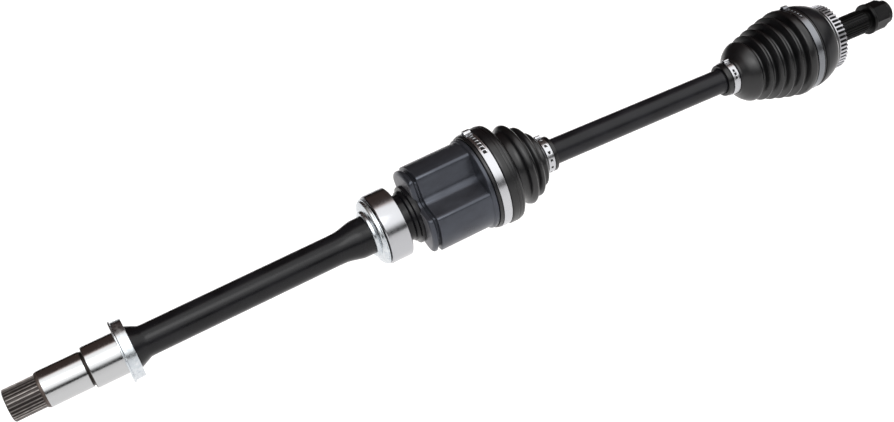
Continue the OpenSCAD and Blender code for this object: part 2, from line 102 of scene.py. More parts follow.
# %% [markdown]
# ## Materials
# Every finish is a small node tree. One function turns a hex colour to the linear values that Blender
# wants, and one adds a node with its settings, values and links. Each pattern reads Object coordinates,
# which are metres here, so a scale of 1000 means one feature a millimetre.

# %% Colour and node helpers
def srgb(code):
    parts = [int(code[i:i + 2], 16) / 255 for i in (1, 3, 5)]
    return [c / 12.92 if c <= 0.04045 else ((c + 0.055) / 1.055) ** 2.4 for c in parts] + [1]


def add(tree, kind, links=None, values=None, **settings):
    made = tree.nodes.new("ShaderNode" + kind)
    for name, value in settings.items():
        setattr(made, name, value)
    for name, value in (values or {}).items():
        made.inputs[name].default_value = value
    for name, socket in (links or {}).items():
        tree.links.new(socket, made.inputs[name])
    return made


def start(name, **values):
    """A new material: its tree, its shader and its Object coordinates."""
    made = bpy.data.materials.new(name)
    made.use_nodes = True
    tree = made.node_tree
    tree.nodes.clear()
    shader = add(tree, "BsdfPrincipled", values=values)
    add(tree, "OutputMaterial", {"Surface": shader.outputs["BSDF"]})
    return made, tree, shader, add(tree, "TexCoord").outputs["Object"]


def ramp(tree, source, low, high, dark, light):
    """A colour ramp from dark to light between two values of the source."""
    made = add(tree, "ValToRGB", {"Fac": source})
    first, last = made.color_ramp.elements
    first.position, first.color = low, dark
    last.position, last.color = high, light
    return made.outputs["Color"]


def spread(tree, source, low, high, to_low, to_high):
    made = add(tree, "MapRange", {"Value": source}, {1: low, 2: high, 3: to_low, 4: to_high})
    return made.outputs["Result"]


def noise(tree, coords, per_metre, stretch=(1, 1, 1), detail=4, place=None):
    """Noise whose grain is one feature in 1/per_metre, stretched along the axes of a place."""
    laid = add(tree, "Mapping", {"Vector": coords}, vector_type="TEXTURE")
    if place is not None:
        laid.inputs["Location"].default_value = place.translation
        laid.inputs["Rotation"].default_value = place.to_euler()
    wide = add(tree, "Mapping", {"Vector": laid.outputs["Vector"]}, {"Scale": stretch})
    made = add(tree, "TexNoise", {"Vector": wide.outputs["Vector"]}, {"Scale": per_metre, "Detail": detail})
    return made.outputs["Fac"]


def bump(tree, shader, height, depth_mm, strength=1):
    made = add(tree, "Bump", {"Height": height}, {"Strength": strength, "Distance": depth_mm * MM})
    tree.links.new(made.outputs["Normal"], shader.inputs["Normal"])
    return made


print("helpers ready")

# %% [markdown]
# Ground bearing steel is turned, hardened and ground, so it is bright and carries very fine rings round
# its axis. A grinding mark is a few hundredths of a millimetre wide: it is drawn at about a third of a
# millimetre to show at all. The rings change roughness more than colour. The same recipe with other
# values gives every bare steel here, from polished balls to bare pressed teeth.

# %% Turned and ground steels
def bare_steel(name, dull, bright, rough, ring_mm=0.35, place=SHAFT, depth_mm=0.004):
    made, tree, shader, coords = start(name, Metallic=1)
    rings = noise(tree, coords, 1 / MM, (1 / ring_mm, 0.02, 0.02), 3, place)
    clouds = noise(tree, coords, 60, detail=5)
    mixed = add(tree, "Math", {0: rings, 1: clouds}, operation="ADD").outputs[0]
    colour = ramp(tree, mixed, 0.35, 0.68, srgb(dull), srgb(bright))
    halved = add(tree, "Math", {0: mixed}, {1: 0.5}, operation="MULTIPLY").outputs[0]
    tree.links.new(colour, shader.inputs["Base Color"])
    tree.links.new(spread(tree, halved, 0.3, 0.7, rough * 1.3, rough * 0.75), shader.inputs["Roughness"])
    bump(tree, shader, rings, depth_mm, 0.5)
    return made


ground_steel = bare_steel("ground_bearing_steel", "#949596", "#b3b4b5", 0.18)
race_steel = bare_steel("ground_outer_race_steel", "#929396", "#aeafb2", 0.21, 0.5)
hub_ground = bare_steel("ground_joint_steel", "#8d8c8a", "#c3c2bf", 0.26, 0.6, HUB)
ball_steel = bare_steel("polished_ball_steel", "#c4c4c4", "#e6e6e6", 0.08, 2, depth_mm=0)
spring_steel = bare_steel("blued_spring_steel", "#3a3d45", "#5c6069", 0.32, 0.8)
tone_steel = bare_steel("pressed_tone_ring_steel", "#85858a", "#b4b4b8", 0.3, 0.8, HUB)
print("bare steels:", len(bpy.data.materials))

# %% [markdown]
# The spline is rolled into the shaft and keeps the dark brown-grey skin of its heat treatment. The skin
# is blotchy, darker in the roots and paler on the crests of the teeth, which stand furthest from the axis.

# %% Heat-treated spline steel, and the relief groove's painted shade
def treated_steel(name, root_hex, crest_hex, root_mm, crest_mm, rough, place=SHAFT):
    made, tree, shader, coords = start(name, Metallic=0.85)
    laid = add(tree, "Mapping", {"Vector": coords}, {"Scale": (1, 1, 1)}, vector_type="TEXTURE")
    laid.inputs["Location"].default_value = place.translation
    laid.inputs["Rotation"].default_value = place.to_euler()
    flat = add(tree, "VectorMath", {0: laid.outputs["Vector"]}, {1: (0, 1, 1)}, operation="MULTIPLY")
    reach = add(tree, "VectorMath", {0: flat.outputs["Vector"]}, operation="LENGTH").outputs["Value"]
    height = spread(tree, reach, root_mm * MM, crest_mm * MM, 0, 1)
    blotch = noise(tree, coords, 220, detail=6)
    # Darker towards the axis, paler outwards: in the relief groove this is painted shade, darkest at its
    # bottom.
    root_to_crest_tone = add(tree, "Math", {0: height, 1: blotch}, operation="MULTIPLY").outputs[0]
    tree.links.new(ramp(tree, root_to_crest_tone, 0.05, 0.6, srgb(root_hex), srgb(crest_hex)), shader.inputs["Base Color"])
    tree.links.new(spread(tree, blotch, 0.3, 0.7, rough + 0.12, rough - 0.08), shader.inputs["Roughness"])
    bump(tree, shader, blotch, 0.02, 0.4)
    return made


spline_skin = treated_steel("heat_treated_spline_steel", "#363230", "#827d7a", 13.9, 15, 0.36)
shoulder_skin = treated_steel("heat_treated_shoulder_steel", "#3c3431", "#675d58", 14, 17, 0.46)
# The relief groove is painted shade: a dark colour, darkest at the groove's bottom.
relief_groove_shade = treated_steel("relief_groove_painted_shade", "#2a2624", "#5a5551", 16, 20, 0.4)
print("treated steels ready")

# %% [markdown]
# The bar, the shaft's neck and the bell are sprayed with a thin satin black paint. It is smooth with a
# faint orange peel about two millimetres across, a few dust marks, and streaks where it ran round the
# bar. Phosphate, on the nut and stub, is the duller black of a dipped part and has a fine crystal grain.

# %% Black paints and coatings
def black_coat(name, deep, pale, rough, grain_mm, depth_mm, metal=0.0, place=SHAFT):
    made, tree, shader, coords = start(name, Metallic=metal)
    peel = noise(tree, coords, 1 / (grain_mm * MM), detail=3)
    streaks = noise(tree, coords, 40, (1, 2, 2), 6, place)
    dust = noise(tree, coords, 900, detail=2)
    colour = ramp(tree, streaks, 0.3, 0.75, srgb(deep), srgb(pale))
    specks = ramp(tree, dust, 0.72, 0.8, (0, 0, 0, 1), (1, 1, 1, 1))
    weight = add(tree, "Math", {0: specks}, {1: 0.25}, operation="MULTIPLY").outputs[0]
    mixed = add(tree, "Mix", {"Factor": weight, 6: colour}, {7: srgb("#6b6b6b")}, data_type="RGBA")
    tree.links.new(mixed.outputs[2], shader.inputs["Base Color"])
    tree.links.new(spread(tree, streaks, 0.3, 0.75, rough - 0.03, rough + 0.05), shader.inputs["Roughness"])
    bump(tree, shader, peel, depth_mm, 0.5)
    shader.inputs["Specular IOR Level"].default_value = 0.25
    return made


bar_paint = black_coat("satin_black_bar_paint", "#0e0e11", "#18181c", 0.32, 2, 0.02, place=BAR)
neck_paint = black_coat("satin_black_neck_paint", "#09090b", "#131316", 0.26, 2, 0.02)
bell_paint = black_coat("satin_black_bell_paint", "#08080a", "#141417", 0.3, 2.4, 0.03, place=HUB)
nut_phosphate = black_coat("zinc_phosphate_nut", "#060606", "#141415", 0.4, 0.5, 0.02, 0.4, HUB)
stub_oxide = black_coat("black_oxide_stub", "#040404", "#101010", 0.34, 0.8, 0.02, 0.5, HUB)
tulip_paint = black_coat("blue_black_tulip_coating", "#404248", "#4a4d54", 0.3, 1.6, 0.025, 0.75)
tulip_end = black_coat("worn_lobe_end_coating", "#626266", "#7e7e82", 0.4, 1.2, 0.03, 0.6)
print("black coats ready")

# %% [markdown]
# The boots are moulded from a tough black thermoplastic rubber. It is matte with a low gloss on the
# crests, has a very fine spark-eroded grain from the mould, and picks up a little grey dust in places.

# %% Boot rubber
def rubber(name, place):
    made, tree, shader, coords = start(name, Roughness=0.5)
    grain = noise(tree, coords, 1400, detail=2)
    cloud = noise(tree, coords, 45, detail=6)
    rings = noise(tree, coords, 1 / MM, (0.9, 0.03, 0.03), 2, place)
    colour = ramp(tree, cloud, 0.35, 0.75, srgb("#040405"), srgb("#0b0b0d"))
    tree.links.new(colour, shader.inputs["Base Color"])
    tree.links.new(spread(tree, cloud, 0.35, 0.7, 0.28, 0.38), shader.inputs["Roughness"])
    both = add(tree, "Math", {0: grain, 1: rings}, operation="ADD").outputs[0]
    bump(tree, shader, both, 0.03, 0.5)
    shader.inputs["Specular IOR Level"].default_value = 0.5
    return made


inner_rubber = rubber("moulded_inner_boot_rubber", SHAFT)
outer_rubber = rubber("moulded_outer_boot_rubber", HUB)
seal_rubber = rubber("nitrile_seal_rubber", SHAFT)
print("rubbers ready")

# %% [markdown]
# Zinc plate is a thin bright bath coating with a blue-grey cast and small soft-edged crystals a few
# millimetres across. The clamp bands are stainless strip, brushed along their length, so their fine
# lines run round the axle and the highlight is drawn out across the band.

# %% Zinc plate, stainless strip and brass
def plated(name, hexes, rough, crystal_mm, place=SHAFT):
    made, tree, shader, coords = start(name, Metallic=1)
    scale = {"Scale": 1 / (crystal_mm * MM)}
    cells = add(tree, "TexVoronoi", {"Vector": coords}, scale, feature="SMOOTH_F1").outputs["Distance"]
    cloud = noise(tree, coords, 90, detail=5)
    both = add(tree, "Math", {0: cells, 1: cloud}, operation="MULTIPLY").outputs[0]
    tree.links.new(ramp(tree, both, 0.05, 0.5, srgb(hexes[0]), srgb(hexes[1])), shader.inputs["Base Color"])
    tree.links.new(spread(tree, both, 0.05, 0.5, rough, rough + 0.14), shader.inputs["Roughness"])
    bump(tree, shader, cells, 0.01, 0.3)
    return made


zinc = plated("bright_zinc_plate", ("#b6bcc2", "#dadedf"), 0.22, 3)
band_steel = bare_steel("brushed_stainless_strip", "#96989b", "#b9babd", 0.24, 0.5)
# The large outer band is the same stainless strip in darker colours: painted shade.
hub_band_steel_shaded = bare_steel("brushed_stainless_large_strip_painted_shade", "#54565a", "#7a7c80", 0.28, 0.5, HUB)
cage_brass = bare_steel("machined_cage_brass", "#9a7434", "#c9a257", 0.28, 0.5)
window_dark = black_coat("shadowed_band_window", "#1a1a1a", "#333333", 0.6, 1, 0.01, 0.5)
print("materials:", len(bpy.data.materials))

# %% [markdown]
# ## Ways of making a piece
# Nearly every piece here is turned on a lathe or pressed on a ring, so two ways make most of them.
# `turned` walks one point along a half profile by extruding it, then spins that line about the X axis.
# `ringed` starts from a circle and extrudes it from station to station, and each station may have its
# own outline: that makes teeth, lobes and hexagons. Both end with their doubles merged, the faces
# turned outwards, and the piece laid into its frame with its object at the origin.

# %% Starting and ending a piece
def begin(name, primitive, **settings):
    if bpy.context.object and bpy.context.object.mode != "OBJECT":
        bpy.ops.object.mode_set(mode="OBJECT")
    bpy.ops.object.select_all(action="DESELECT")
    primitive(**settings)
    piece = bpy.context.object
    piece.name = piece.data.name = name
    bpy.ops.object.transform_apply(location=True, rotation=True, scale=True)
    bpy.ops.object.mode_set(mode="EDIT")
    bpy.ops.mesh.select_mode(type="VERT")
    bpy.ops.mesh.select_all(action="SELECT")
    return piece


def close(piece, place=SHAFT, smooth=35):
    """Merges doubles, turns faces outwards and lays the piece into its frame."""
    bpy.ops.mesh.select_all(action="SELECT")
    bpy.ops.mesh.remove_doubles(threshold=0.005 * MM)
    bpy.ops.mesh.normals_make_consistent(inside=False)
    bpy.ops.object.mode_set(mode="OBJECT")
    piece.matrix_world = place @ piece.matrix_world
    bpy.ops.object.transform_apply(location=True, rotation=True, scale=True)
    bpy.ops.object.shade_smooth_by_angle(angle=math.radians(smooth))
    return piece


def eased(points, fillet=0.4, parts=3):
    """Rounds a profile's corners. A third value at a point is that corner's own fillet."""
    out = [tuple(points[0][:2])]
    for before, corner, after in zip(points, points[1:], points[2:]):
        size = corner[2] if len(corner) > 2 else fillet
        middle = Vector(corner[:2])
        back, on = Vector(before[:2]) - middle, Vector(after[:2]) - middle
        first = middle + back.normalized() * min(size, back.length * 0.45)
        last = middle + on.normalized() * min(size, on.length * 0.45)
        for k in range(parts + 1):
            t = k / parts
            out.append(tuple((1 - t) ** 2 * first + 2 * t * (1 - t) * middle + t * t * last))
    return out + [tuple(points[-1][:2])]


def flowing(points, parts=6):
    """A smooth line through every point."""
    ends = [points[0]] + list(points) + [points[-1]]
    out = []
    for a, b, c, d in zip(ends, ends[1:], ends[2:], ends[3:]):
        a, b, c, d = Vector(a), Vector(b), Vector(c), Vector(d)
        for k in range(parts):
            t = k / parts
            out.append(tuple(0.5 * (2 * b + (c - a) * t + (2 * a - 5 * b + 4 * c - d) * t ** 2
                                    + (3 * b - a - 3 * c + d) * t ** 3)))
    return out + [tuple(points[-1])]


def turned(name, points, place=SHAFT, steps=112, smooth=35):
    x, r = points[0]
    piece = begin(name, bpy.ops.mesh.primitive_plane_add, size=MM, location=(x * MM, 0, r * MM))
    bpy.ops.mesh.merge(type="CENTER")
    for (x0, r0), (x1, r1) in zip(points, points[1:]):
        step = ((x1 - x0) * MM, 0, (r1 - r0) * MM)
        bpy.ops.mesh.extrude_region_move(TRANSFORM_OT_translate={"value": step})
    bpy.ops.mesh.select_all(action="SELECT")
    bpy.ops.mesh.spin(steps=steps, angle=math.tau, center=(0, 0, 0), axis=(1, 0, 0))
    return close(piece, place, smooth)


def ringed(name, angles, stations, place=SHAFT, smooth=35):
    """Rings of points at the given angles from +Z towards +Y; a station is (x, radius or outline)."""
    piece = begin(name, bpy.ops.mesh.primitive_circle_add, vertices=len(angles), radius=MM)
    mesh = bmesh.from_edit_mesh(piece.data)
    spokes = mesh.verts.layers.int.new("spoke")
    for number, vertex in enumerate(mesh.verts):
        vertex[spokes] = number
    for count, (x, outline) in enumerate(stations):
        if count:
            bpy.ops.mesh.extrude_region_move()
        mesh = bmesh.from_edit_mesh(piece.data)
        spokes = mesh.verts.layers.int["spoke"]
        for vertex in mesh.verts:
            if vertex.select:
                angle = angles[vertex[spokes]]
                r = outline(angle) if callable(outline) else outline
                vertex.co = Vector((x, r * math.sin(angle), r * math.cos(angle))) * MM
        bmesh.update_edit_mesh(piece.data)
    return close(piece, place, smooth)


def wear(piece, *materials):
    piece.data.materials.clear()
    for material in materials:
        piece.data.materials.append(material)


def even(count):
    return [math.tau * k / count for k in range(count)]


print("ways of making a piece ready")

# %% [markdown]
# A finished piece is tied to a body, and the CAD node that it stands for is hidden. One line does
# both, so nothing is forgotten.

# %% Settling a piece in the model
def settle(piece, body, slot, *nodes):
    if body:
        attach(piece, body)
    if nodes:
        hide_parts(*nodes)
    print(piece.name, len(piece.data.polygons), "faces on", body or "a blend")


# %% [markdown]
# ## The splined end
# The left end carries a spline that slides into the differential. Its teeth are one outline, pulled
# from station to station, with a small chamfer at the tip. Eight points a tooth give a flat crest, two
# flanks and a wide root.

# %% Toothed outlines and the differential spline
def tooth_angles(count, points=8):
    return even(count * points)


def tooth_outline(count, root, tip, crest=0.25, foot=0.5):
    """The radius at an angle: tip on a tooth's crest, root in the gap, straight flanks between."""
    def radius(angle):
        share = (angle / math.tau * count) % 1
        away = min(share, 1 - share) * 2
        rise = min(max((1 - foot - away) / (1 - foot - crest), 0), 1)
        return root + (tip - root) * rise
    return radius


SPLINE_END, SPLINE_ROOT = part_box("intermediate_shaft")[0].x / MM, -332.6
full, short = tooth_outline(27, 13.8, 15), tooth_outline(27, 13.6, 14.05)
spline_end = ringed("differential_spline", tooth_angles(27), [
    (SPLINE_END, 0), (SPLINE_END, 11.5), (SPLINE_END + 0.1, 13.2), (SPLINE_END + 0.4, short),
    (SPLINE_END + 1.3, full), (SPLINE_ROOT - 2.2, full), (SPLINE_ROOT, tooth_outline(27, 14.6, 15.1)),
    (SPLINE_ROOT, 0)], smooth=24)
wear(spline_end, spline_skin)
settle(spline_end, "shaft", "shaft_steel")

# %% [markdown]
# ## The intermediate shaft
# One long turned bar carries, in order, a chamfered shoulder, the small ground journal, a narrow relief
# groove, the oil-seal journal, the seat of the dust deflector, a tapering neck and the plain painted
# shaft up to the bearing. The finish changes along its length, so after the spin its faces are given
# to slots by where they lie on the axis.

# %% The turned shaft and its four finishes
intermediate = turned("intermediate_shaft_turned", eased([
    (-334, 0), (-334, 15.2), (-333.6, 15.9), (-330.6, 17), (-293.1, 17), (-292.8, 16, 0.3),
    (-291.1, 16, 0.3), (-290.9, 18.6), (-290, 19.5), (-261.4, 19.5), (-261, 19.7), (-250, 19.7),
    (-249.4, 19.6, 0.6), (-239.4, 14.9, 1.2), (-237, 14.7, 1), (-80, 14.7), (-47, 14.7, 8),
    (-38, 16.8, 6), (-31, 18.6, 4), (-14.5, 18.6), (-14.3, 20, 0.1), (-13.2, 20, 0.1), (-13.2, 18.9, 0.1),
    (-11.6, 18.9, 0.1), (-11.6, 20, 0.1), (11, 20), (11, 0)], 0.35))
wear(intermediate, neck_paint, ground_steel, relief_groove_shade, shoulder_skin)
# Slot 2 is the relief groove, which wears painted shade.
ZONES = [(-334.5, -330.9, 3), (-330.9, -293, 1), (-293, -290.2, 2), (-290.2, -255, 1), (-14.4, 11.5, 1)]
for face in intermediate.data.polygons:
    for first, last, slot_number in ZONES:
        if first <= face.center.x / MM < last:
            face.material_index = slot_number
settle(intermediate, "shaft", "shaft_steel", "intermediate_shaft")

# %% [markdown]
# The dust deflector is a thin pressed cup of zinc-plated steel. Its flat flange faces the gearbox and
# its short wall points back along the shaft. A rolled lip and a step show where the press folded it.

# %% The dust deflector
deflector = turned("dust_deflector_pressed", eased([
    (-255, 19.72), (-261, 19.72), (-261, 22), (-261.4, 23), (-261.4, 28.6), (-261, 29.1), (-260, 29.1),
    (-259.6, 28.6), (-259.4, 27.6, 0.6), (-250.6, 27.4), (-250.1, 27.1), (-250.1, 26.3), (-250.5, 26),
    (-257.8, 26, 0.8), (-258.2, 22.4, 0.6), (-257.4, 21.3), (-251.4, 21.2), (-251.4, 19.72),
    (-255, 19.72)], 0.3), steps=128)
wear(deflector, zinc)
settle(deflector, "shaft", "zinc_plate", "dust_deflector")

# %% [markdown]
# ## The carrier bearing
# The outer race is a ground ring with a turned chamfer at each edge and a shallow ball track inside.
# The inner race, cage, balls and seals are exact in the CAD model, so they stay and only get a finish.
# In front of the bearing sits a stepped, zinc-plated flinger that turns with the shaft and keeps dirt
# off the seal.

# %% The outer race and the flinger
outer_race = turned("bearing_outer_race_ground", eased([
    (0, 32.1), (-3.4, 31), (-5.2, 30.5), (-10.9, 30.5), (-10.9, 33), (-9.9, 34), (9.9, 34), (10.9, 33),
    (10.9, 30.5), (5.2, 30.5), (3.4, 31), (0, 32.1)], 0.25), steps=160)
wear(outer_race, race_steel)
settle(outer_race, "carrier", "bearing_steel", "bearing_outer_race")

flinger = turned("bearing_flinger_pressed", eased([
    (-18, 18.65), (-20, 18.65), (-20, 21.6), (-19.4, 22.5), (-16.9, 22.8, 0.8), (-16.2, 29.4, 0.9),
    (-15.2, 31.2, 0.7), (-13.4, 31.3), (-13.2, 32.5), (-12.4, 32.7), (-12.3, 31.6), (-12.3, 29.8),
    (-14.2, 29.6), (-14.7, 24), (-15.2, 23.2), (-15.2, 21.3), (-18, 21.2), (-18, 18.65)], 0.25), steps=128)
wear(flinger, zinc)
settle(flinger, "shaft", "zinc_plate", "bearing_dust_cover")

# %% [markdown]
# ## The tulip
# The sliding joint's housing has three lobes round it, one for each roller track. Its outline is worked
# out once for a sixth of a turn: an arc at the lobe's crown, a rounded corner, a flat side, and a
# rounded valley between two lobes. The points sit closer together in the corner and the valley.

# %% The tulip's outline
LOBE_R, LOBE_SIDE, CORNER, VALLEY = 43.5, 22.4, 4, 10
CORNER_AT = math.sqrt((LOBE_R - CORNER) ** 2 - (LOBE_SIDE - CORNER) ** 2)
VALLEY_AT = (LOBE_SIDE + VALLEY) / math.sin(math.pi / 3)
CORNER_FROM = math.atan2(LOBE_SIDE - CORNER, CORNER_AT)
SIDE_FROM = math.atan2(LOBE_SIDE, CORNER_AT)
VALLEY_FROM = math.atan2(LOBE_SIDE, VALLEY_AT * 0.5)


def sixth(angle):
    """Folds an angle on to the sixth between a lobe's crown and the next valley."""
    third = math.tau / 3
    folded = (angle - math.radians(10)) % third
    return min(folded, third - folded)


def lobe(angle, grow=0.0):
    a = sixth(angle)
    if a < CORNER_FROM:
        return LOBE_R + grow
    if a < SIDE_FROM:
        off = a - CORNER_FROM
        far = LOBE_R - CORNER
        return far * math.cos(off) + math.sqrt(CORNER ** 2 - (far * math.sin(off)) ** 2) + grow
    if a < VALLEY_FROM:
        return LOBE_SIDE / math.sin(a) + grow
    off = math.pi / 3 - a
    return VALLEY_AT * math.cos(off) - math.sqrt(VALLEY ** 2 - (VALLEY_AT * math.sin(off)) ** 2) + grow


def between(first, last, count):
    return [first + (last - first) * k / count for k in range(count)]


half = (between(0, CORNER_FROM, 8) + between(CORNER_FROM, SIDE_FROM, 6)
        + between(SIDE_FROM, VALLEY_FROM, 9) + between(VALLEY_FROM, math.pi / 3, 6))
mirrored = [math.tau / 3 - a for a in reversed(half[1:])]
lobe_spokes = [math.radians(10) + math.tau / 3 * k + a for k in range(3)
               for a in half + [math.pi / 3] + mirrored]
print("tulip outline:", len(lobe_spokes), "points")

# %% [markdown]
# The lobes are pulled from the outline along X. The left end is chamfered and rounded, and a narrow
# groove runs round the lobes a little way in. At the mouth the outline swells to a round collar and
# the boot's seat. The last rings go back inside as the three roller tracks round the central bore, so
# the housing is a real hollow one.

# %% The tulip housing
def capped(limit, grow=0.0):
    return lambda angle: min(lobe(angle, grow), limit)


def tracks(angle):
    """The cavity: three roller tracks of 14.9 mm round a bore of 20.5 mm."""
    a = min((angle - math.radians(10)) % (math.tau / 3), -(angle - math.radians(10)) % (math.tau / 3))
    inside = 14.9 ** 2 - (24 * math.sin(a)) ** 2
    return max(20.5, 24 * math.cos(a) + math.sqrt(inside)) if inside > 0 else 20.5


tulip = ringed("tulip_lobes", lobe_spokes, [
    (27, 0), (27, 18), (27, capped(35.5, -4.5)), (27.15, capped(37, -3.4)), (27.6, capped(38.6, -2.6)),
    (28.4, capped(40.4, -2)), (29.4, capped(41.6, -1.7)), (30.8, capped(42.3, -1.6)),
    (32, capped(42.5, -1.7)), (32.8, capped(42.5, -3)), (33.2, capped(42.5, -4.6)), (34, capped(42.5, -5)),
    (34.2, capped(41.6, -5)), (35.5, capped(41.6, -5)), (35.6, capped(42.8, -1.2)),
    (35.9, capped(43.3, -0.4)), (36.4, capped(43.5)), (60, capped(43.5)), (90.6, capped(43.5)),
    (91.2, lambda a: max(lobe(a), 41.5)), (91.8, 44.6), (92.6, 45.3), (95.2, 45.4), (95.6, 44.6), (96, 44),
    (108.8, 44), (109.7, 43.4), (110, 42.6), (110, 40.5), (109.4, lambda a: max(tracks(a), 38.9)),
    (108.4, lambda a: max(tracks(a), 30.6)), (78, tracks), (60, tracks), (30, tracks), (30, 0)], smooth=38)
wear(tulip, tulip_paint, tulip_end)
for face in tulip.data.polygons:
    if face.center.x < 27.7 * MM and face.normal.x < -0.5:
        face.material_index = 1
settle(tulip, "shaft", "tulip_steel", "tulip_housing")

# %% [markdown]
# Behind the lobes the housing narrows to the bearing: a disc that closes the lobes' ends, a low collar
# and a plain stretch. All of it is round, so it is turned.

# %% The tulip's turned neck
tulip_neck = turned("tulip_neck_turned", eased([
    (11, 0), (11, 22.8), (18.8, 22.8, 0.8), (20.2, 24.8, 0.8), (23, 25.2), (23.6, 28.4),
    (27.6, 28.6), (29.4, 27.6), (29.4, 0)], 0.35), steps=112)
wear(tulip_neck, neck_paint)
settle(tulip_neck, "shaft", "tulip_steel")

# %% [markdown]
# ## The clamp bands
# Each boot is held by a stainless band. The large one has a row of small windows that take the hooks of
# the band's end, and a raised ear that the crimping tool squeezes. A band is a ring whose middle row of
# faces is inset, one face at a time, and pushed in to make the windows.

# %% A band with windows
def band(name, x0, x1, inner, outer, spokes, window_test, place, edge):
    rows = [(x0 + 0.5, inner), (x0, inner), (x0, outer - 0.15), (x0 + 0.15, outer), (x0 + edge, outer),
            (x1 - edge, outer), (x1 - 0.15, outer), (x1, outer - 0.15), (x1, inner), (x0 + 0.5, inner)]
    piece = ringed(name, even(spokes), rows, smooth=30)
    bpy.ops.object.mode_set(mode="EDIT")
    bpy.ops.mesh.select_mode(type="FACE")
    bpy.ops.mesh.select_all(action="DESELECT")
    mesh = bmesh.from_edit_mesh(piece.data)
    for face in mesh.faces:
        middle = face.calc_center_median() / MM
        on_row = x0 + edge < middle.x < x1 - edge and math.hypot(middle.y, middle.z) > (inner + outer) / 2
        face.select_set(on_row and window_test(math.degrees(math.atan2(middle.y, middle.z))))
    bmesh.update_edit_mesh(piece.data)
    bpy.ops.mesh.inset(thickness=0.6 * MM, use_individual=True)
    bpy.ops.mesh.inset(thickness=0.02 * MM, depth=-0.45 * MM, use_individual=True)
    chosen = [f.index for f in bmesh.from_edit_mesh(piece.data).faces if f.select]
    bpy.ops.object.mode_set(mode="OBJECT")
    # Bands on the hub wear the darker strip, which is painted shade.
    wear(piece, band_steel if place != HUB else hub_band_steel_shaded, window_dark)
    for number in chosen:
        piece.data.polygons[number].material_index = 1
    piece.matrix_world = place
    bpy.ops.object.transform_apply(location=True, rotation=True, scale=True)
    return piece


def ear(name, radius, x0, x1, reach, height, turn_deg, place):
    """The crimped loop of a band: a strip bent up, over and down again, with a real thickness."""
    line = [(-reach, 0.1), (-reach * 0.62, 0.25), (-reach * 0.5, 0.8), (-reach * 0.42, height * 0.8),
            (-reach * 0.3, height), (reach * 0.3, height), (reach * 0.42, height * 0.8),
            (reach * 0.5, 0.8), (reach * 0.62, 0.25), (reach, 0.1)]
    piece = begin(name, bpy.ops.mesh.primitive_plane_add, size=MM,
                  location=(x0 * MM, line[0][0] * MM, (radius + line[0][1]) * MM))
    bpy.ops.mesh.merge(type="CENTER")
    for (y0, z0), (y1, z1) in zip(line, line[1:]):
        step = (0, (y1 - y0) * MM, (z1 - z0) * MM)
        bpy.ops.mesh.extrude_region_move(TRANSFORM_OT_translate={"value": step})
    bpy.ops.mesh.select_all(action="SELECT")
    bpy.ops.mesh.extrude_region_move(TRANSFORM_OT_translate={"value": ((x1 - x0) * MM, 0, 0)})
    bpy.ops.mesh.select_all(action="SELECT")
    bpy.ops.mesh.normals_make_consistent(inside=False)
    bpy.ops.object.mode_set(mode="OBJECT")
    thick = piece.modifiers.new("thickness", "SOLIDIFY")
    thick.thickness, thick.offset = 0.8 * MM, 0
    bpy.ops.object.modifier_apply(modifier="thickness")
    soft = piece.modifiers.new("edges", "BEVEL")
    soft.width, soft.segments = 0.18 * MM, 2
    bpy.ops.object.modifier_apply(modifier="edges")
    piece.matrix_world = place @ Matrix.Rotation(math.radians(-turn_deg), 4, "X")
    bpy.ops.object.transform_apply(location=True, rotation=True, scale=True)
    bpy.ops.object.shade_smooth_by_angle(angle=math.radians(35))
    wear(piece, band_steel if place != HUB else hub_band_steel_shaded)
    return piece


large_inner = band("inner_large_band", 99.5, 108, 46.9, 47.95, 64,
                   lambda a: -34 < a < 6, SHAFT, 2)
settle(large_inner, "shaft", "band_steel", "inner_boot_large_clamp")
settle(ear("inner_large_ear", 47.9, 100.2, 107.3, 6, 3, 12, SHAFT), "shaft", "band_steel")
small_inner = band("inner_small_band", 105, 112, 16.6, 17.6, 28,
                   lambda a: int(round(a / 12.86)) % 2 == 0, BAR, 1.6)
settle(small_inner, "bar", "band_steel", "inner_boot_small_clamp")
settle(ear("inner_small_ear", 17.5, 105.8, 111.2, 4.2, 2.6, 22, BAR), "bar", "band_steel")
small_outer = band("outer_small_band", REACH - 94, REACH - 87, 16.6, 17.6, 28,
                   lambda a: 20 < a < 60 or -75 < a < -40, BAR, 1.6)
settle(small_outer, "bar", "band_steel", "outer_boot_small_clamp")
settle(ear("outer_small_ear", 17.5, REACH - 93.2, REACH - 87.8, 4.2, 2.8, 2, BAR), "bar", "band_steel")
large_outer = band("outer_large_band", -9.3, -2.2, 43.3, 44.3, 64,
                   lambda a: -22 < a < 6, HUB, 1.8)
settle(large_outer, "hub", "band_steel", "outer_boot_large_clamp")
settle(ear("outer_large_ear", 44.2, -8.6, -2.9, 5.4, 2.8, 14, HUB), "hub", "band_steel")

# %% [markdown]
# ## The boots
# A boot is one moulded skin a little over two millimetres thick. Its outside is a smooth line
# through its folds, and its inside is the same line moved in by the wall. The profile is spun once.
# Each boot crosses a joint that is really two hinges or slides, and a blend can only cross one, so the
# boot is made in two halves that meet in or beside a valley.

# %% The wall of a boot
def skin(outside, wall):
    """A closed profile: the outside line, then the inside line back again, wall mm lower."""
    inside = []
    for k, (x, r) in enumerate(outside):
        before, after = outside[max(k - 1, 0)], outside[min(k + 1, len(outside) - 1)]
        along = Vector((after[0] - before[0], after[1] - before[1])).normalized()
        inside.append((x + along.y * wall * 0.55, r - max(along.x, 0.55) * wall))
    return list(outside) + inside[::-1] + [outside[0]]


def swept(piece, first, last):
    """Leans the rings of a straight boot from the shaft's line to the bar's line."""
    for vertex in piece.data.vertices:
        along = (vertex.co.x - tripod.x) / MM
        t = min(max((along - first) / (last - first), 0), 1)
        lean = Matrix.Rotation(BEND * t * t * (3 - 2 * t), 4, "Y")
        vertex.co = tripod + lean @ (vertex.co - tripod)
    return piece


print("boot helpers ready")

